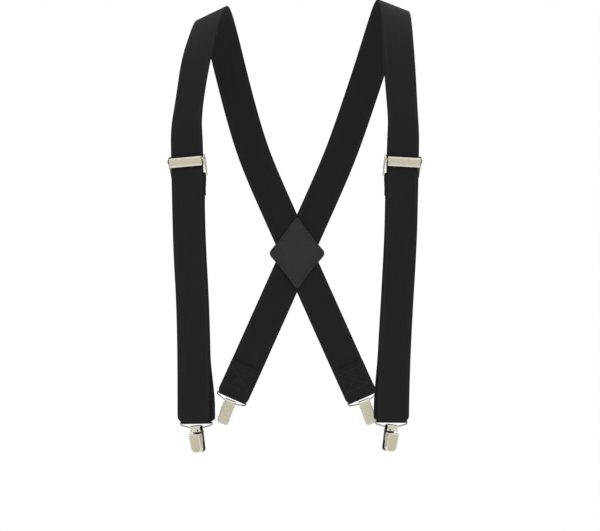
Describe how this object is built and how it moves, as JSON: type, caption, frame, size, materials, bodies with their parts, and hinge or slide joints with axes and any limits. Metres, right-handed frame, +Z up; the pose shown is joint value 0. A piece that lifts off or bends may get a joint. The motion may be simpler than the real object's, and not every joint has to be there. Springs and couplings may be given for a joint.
{
  "type": "clip-on suspenders",
  "caption": "Worn clip-on suspenders with wide black elastic straps crossing in a leather back patch, lever adjusters and hinged metal clips on wire bails.",
  "frame": {"origin": "midway between the two shoulder tops over which the straps lie, at their height; this point stands for the wearer's shoulders, which hold the part up", "axes": "+Z up, the wearer faces -Y, +X towards the viewer's right (the wearer's left)"},
  "size_m": [0.2824, 0.2551, 0.5125],
  "materials": {
    "webbing": "matte black knitted elastic webbing with a fine lengthwise rib and a narrow smooth selvedge",
    "leather": "smooth black leather with a fine grain and stitched edge",
    "plated_sheet": "warm bright nickel plate on stamped steel sheet, softly polished",
    "plated_wire": "bright nickel plate on steel wire and pins",
    "grip_pad": "matte black moulded plastic with blunt teeth"
  },
  "bodies": {
    "root": {"left_strap": "webbing", "right_strap": "webbing", "left_return_layer": "webbing", "right_return_layer": "webbing", "crosspatch_outer": "leather", "crosspatch_inner": "leather"},
    "left_adjuster": {"left_adjuster_frame": "plated_sheet", "left_adjuster_inner_rivet": "plated_wire", "left_adjuster_outer_rivet": "plated_wire"},
    "left_adjuster_lever": {"left_adjuster_lever": "plated_sheet"},
    "right_adjuster": {"right_adjuster_frame": "plated_sheet", "right_adjuster_inner_rivet": "plated_wire", "right_adjuster_outer_rivet": "plated_wire"},
    "right_adjuster_lever": {"right_adjuster_lever": "plated_sheet"},
    "front_left_clip_bail": {"front_left_clip_bail": "plated_wire"},
    "front_left_clip_base": {"front_left_clip_base": "plated_sheet", "front_left_clip_cover_pin": "plated_wire", "front_left_clip_jaw_pin": "plated_wire", "front_left_clip_spring": "plated_wire", "front_left_clip_base_pad": "grip_pad"},
    "front_left_clip_cover": {"front_left_clip_cover": "plated_sheet"},
    "front_left_clip_jaw": {"front_left_clip_jaw": "plated_sheet", "front_left_clip_jaw_pad": "grip_pad"},
    "front_right_clip_bail": {"front_right_clip_bail": "plated_wire"},
    "front_right_clip_base": {"front_right_clip_base": "plated_sheet", "front_right_clip_cover_pin": "plated_wire", "front_right_clip_jaw_pin": "plated_wire", "front_right_clip_spring": "plated_wire", "front_right_clip_base_pad": "grip_pad"},
    "front_right_clip_cover": {"front_right_clip_cover": "plated_sheet"},
    "front_right_clip_jaw": {"front_right_clip_jaw": "plated_sheet", "front_right_clip_jaw_pad": "grip_pad"},
    "rear_left_clip_bail": {"rear_left_clip_bail": "plated_wire"},
    "rear_left_clip_base": {"rear_left_clip_base": "plated_sheet", "rear_left_clip_cover_pin": "plated_wire", "rear_left_clip_jaw_pin": "plated_wire", "rear_left_clip_spring": "plated_wire", "rear_left_clip_base_pad": "grip_pad"},
    "rear_left_clip_cover": {"rear_left_clip_cover": "plated_sheet"},
    "rear_left_clip_jaw": {"rear_left_clip_jaw": "plated_sheet", "rear_left_clip_jaw_pad": "grip_pad"},
    "rear_right_clip_bail": {"rear_right_clip_bail": "plated_wire"},
    "rear_right_clip_base": {"rear_right_clip_base": "plated_sheet", "rear_right_clip_cover_pin": "plated_wire", "rear_right_clip_jaw_pin": "plated_wire", "rear_right_clip_spring": "plated_wire", "rear_right_clip_base_pad": "grip_pad"},
    "rear_right_clip_cover": {"rear_right_clip_cover": "plated_sheet"},
    "rear_right_clip_jaw": {"rear_right_clip_jaw": "plated_sheet", "rear_right_clip_jaw_pad": "grip_pad"}
  },
  "joints": [
    {"name": "left_adjuster_slide", "type": "slide", "parent": "root", "child": "left_adjuster", "axis": [-0.0201, -0.0428, 0.9989], "range_m": [-0.055, 0.01], "deforming": ["left_return_layer"]},
    {"name": "left_adjuster_lever_lift", "type": "hinge", "parent": "left_adjuster", "child": "left_adjuster_lever", "pos_m": [-0.12023, -0.12878, -0.17499], "axis": [-0.9416, 0.3283, -0.0746], "range_deg": [0, 70]},
    {"name": "right_adjuster_slide", "type": "slide", "parent": "root", "child": "right_adjuster", "axis": [0.0201, -0.0428, 0.9989], "range_m": [-0.055, 0.01], "deforming": ["right_return_layer"]},
    {"name": "right_adjuster_lever_lift", "type": "hinge", "parent": "right_adjuster", "child": "right_adjuster_lever", "pos_m": [0.1199, -0.12886, -0.17498], "axis": [-0.9441, -0.3273, 0.0398], "range_deg": [0, 70]},
    {"name": "front_left_clip_swing", "type": "hinge", "parent": "root", "child": "front_left_clip_bail", "pos_m": [-0.10936, -0.10493, -0.46392], "axis": [0.9552, -0.2943, 0.0297], "range_deg": [-60, 60]},
    {"name": "front_left_clip_pivot", "type": "hinge", "parent": "front_left_clip_bail", "child": "front_left_clip_base", "pos_m": [-0.10904, -0.10454, -0.4703], "axis": [0.9552, -0.2943, 0.0297], "range_deg": [-35, 35]},
    {"name": "front_left_clip_cover_lift", "type": "hinge", "parent": "front_left_clip_base", "child": "front_left_clip_cover", "pos_m": [-0.11053, -0.10848, -0.47983], "axis": [-0.8681, 0.4893, -0.0833], "range_deg": [0, 100]},
    {"name": "front_left_clip_jaw_open", "type": "hinge", "parent": "front_left_clip_base", "child": "front_left_clip_jaw", "pos_m": [-0.10894, -0.10583, -0.48079], "axis": [-0.8681, 0.4893, -0.0833], "range_deg": [0, 12]},
    {"name": "front_right_clip_swing", "type": "hinge", "parent": "root", "child": "front_right_clip_bail", "pos_m": [0.10669, -0.10461, -0.46269], "axis": [0.95, 0.3109, -0.0285], "range_deg": [-60, 60]},
    {"name": "front_right_clip_pivot", "type": "hinge", "parent": "front_right_clip_bail", "child": "front_right_clip_base", "pos_m": [0.10637, -0.10422, -0.46907], "axis": [0.95, 0.3109, -0.0285], "range_deg": [-35, 35]},
    {"name": "front_right_clip_cover_lift", "type": "hinge", "parent": "front_right_clip_base", "child": "front_right_clip_cover", "pos_m": [0.10793, -0.10814, -0.4786], "axis": [-0.8596, -0.5043, 0.0821], "range_deg": [0, 100]},
    {"name": "front_right_clip_jaw_open", "type": "hinge", "parent": "front_right_clip_base", "child": "front_right_clip_jaw", "pos_m": [0.10631, -0.10552, -0.47956], "axis": [-0.8596, -0.5043, 0.0821], "range_deg": [0, 12]},
    {"name": "rear_left_clip_swing", "type": "hinge", "parent": "root", "child": "rear_left_clip_bail", "pos_m": [-0.07419, 0.09188, -0.44576], "axis": [-0.9068, 0.1473, 0.3951], "range_deg": [-60, 60]},
    {"name": "rear_left_clip_pivot", "type": "hinge", "parent": "rear_left_clip_bail", "child": "rear_left_clip_base", "pos_m": [-0.07681, 0.09139, -0.45158], "axis": [-0.9068, 0.1473, 0.3951], "range_deg": [-35, 35]},
    {"name": "rear_left_clip_cover_lift", "type": "hinge", "parent": "rear_left_clip_base", "child": "rear_left_clip_cover", "pos_m": [-0.08054, 0.09559, -0.46035], "axis": [0.9348, 0.0662, -0.349], "range_deg": [0, 100]},
    {"name": "rear_left_clip_jaw_open", "type": "hinge", "parent": "rear_left_clip_base", "child": "rear_left_clip_jaw", "pos_m": [-0.0807, 0.09252, -0.46134], "axis": [0.9348, 0.0662, -0.349], "range_deg": [0, 12]},
    {"name": "rear_right_clip_swing", "type": "hinge", "parent": "root", "child": "rear_right_clip_bail", "pos_m": [0.07819, 0.08988, -0.44576], "axis": [-0.9068, -0.1473, -0.3951], "range_deg": [-60, 60]},
    {"name": "rear_right_clip_pivot", "type": "hinge", "parent": "rear_right_clip_bail", "child": "rear_right_clip_base", "pos_m": [0.08081, 0.08939, -0.45158], "axis": [-0.9068, -0.1473, -0.3951], "range_deg": [-35, 35]},
    {"name": "rear_right_clip_cover_lift", "type": "hinge", "parent": "rear_right_clip_base", "child": "rear_right_clip_cover", "pos_m": [0.08454, 0.09359, -0.46035], "axis": [0.9348, -0.0662, 0.349], "range_deg": [0, 100]},
    {"name": "rear_right_clip_jaw_open", "type": "hinge", "parent": "rear_right_clip_base", "child": "rear_right_clip_jaw", "pos_m": [0.0847, 0.09052, -0.46134], "axis": [0.9348, -0.0662, 0.349], "range_deg": [0, 12]}
  ],
  "couplings": [
    {"joint": "front_left_clip_jaw_open", "follows": "front_left_clip_cover_lift", "ratio": 0.12},
    {"joint": "front_right_clip_jaw_open", "follows": "front_right_clip_cover_lift", "ratio": 0.12},
    {"joint": "rear_left_clip_jaw_open", "follows": "rear_left_clip_cover_lift", "ratio": 0.12},
    {"joint": "rear_right_clip_jaw_open", "follows": "rear_right_clip_cover_lift", "ratio": 0.12}
  ]
}
